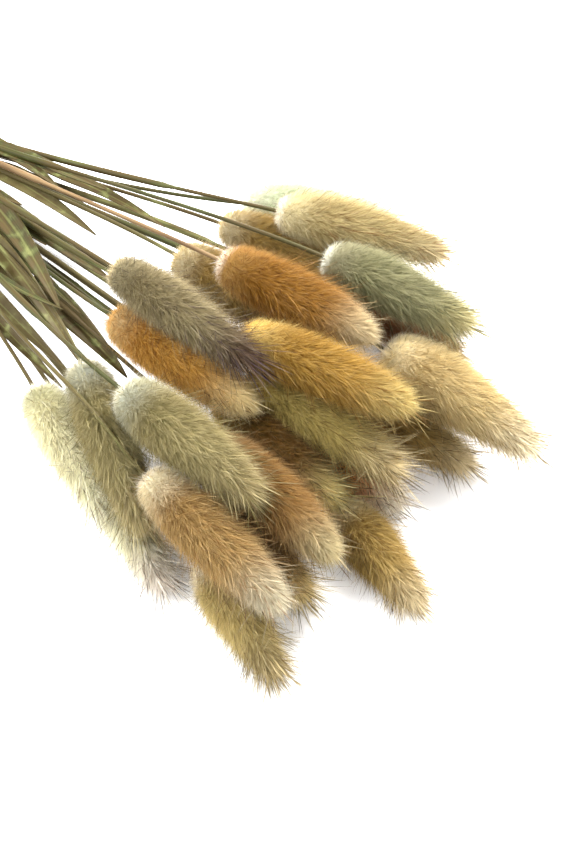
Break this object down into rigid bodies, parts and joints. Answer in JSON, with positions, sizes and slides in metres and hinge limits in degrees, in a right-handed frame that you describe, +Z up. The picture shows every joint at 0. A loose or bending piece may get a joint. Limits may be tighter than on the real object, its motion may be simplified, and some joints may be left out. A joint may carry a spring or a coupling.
{
  "type": "dried grass bunch",
  "caption": "Tied bunch of dried bunny tail grass lying down, with soft oval hairy heads on thin stems with leaf blades.",
  "frame": {"origin": "middle of the bunch's footprint, on the surface that it lies on", "axes": "+X along the bunch from the cut ends to the heads, +Y across it to the left, +Z up"},
  "size_m": [0.4142, 0.1662, 0.0508],
  "materials": {
    "hair_sage": "soft dry hair, pale sage",
    "hair_mint": "soft dry hair, grey mint green",
    "hair_cream": "soft dry hair, olive cream",
    "hair_olive": "soft dry hair, olive",
    "hair_straw": "soft dry hair, straw",
    "hair_amber": "soft dry hair, golden amber",
    "hair_caramel": "soft dry hair, caramel",
    "hair_peach": "soft dry hair, pale peach tan",
    "hair_taupe": "soft dry hair, grey taupe",
    "hair_brown": "soft dry hair, warm brown",
    "stem_green": "dry grass stem and leaf, satin olive green",
    "stem_tan": "dry grass stem, satin orange tan",
    "twine": "natural twine"
  },
  "bodies": {
    "root": {"head_01": "hair_sage", "head_02": "hair_olive", "head_03": "hair_taupe", "head_04": "hair_taupe", "head_05": "hair_brown", "head_06": "hair_brown", "head_07": "hair_brown", "head_08": "hair_caramel", "head_09": "hair_cream", "head_10": "hair_cream", "head_11": "hair_olive", "head_12": "hair_straw", "head_13": "hair_olive", "head_14": "hair_straw", "head_15": "hair_cream", "head_16": "hair_straw", "head_17": "hair_peach", "head_18": "hair_caramel", "head_19": "hair_sage", "head_20": "hair_sage", "head_21": "hair_mint", "head_22": "hair_amber", "head_23": "hair_caramel", "head_24": "hair_taupe", "stem_01": "stem_green", "stem_02": "stem_green", "stem_03": "stem_green", "stem_04": "stem_green", "stem_05": "stem_green", "stem_06": "stem_green", "stem_07": "stem_green", "stem_08": "stem_green", "stem_09": "stem_green", "stem_10": "stem_green", "stem_11": "stem_green", "stem_12": "stem_green", "stem_13": "stem_green", "stem_14": "stem_green", "stem_15": "stem_green", "stem_16": "stem_green", "stem_17": "stem_green", "stem_18": "stem_green", "stem_19": "stem_green", "stem_20": "stem_green", "stem_21": "stem_green", "stem_22": "stem_green", "stem_23": "stem_tan", "stem_24": "stem_green", "tie": "twine"}
  },
  "joints": []
}
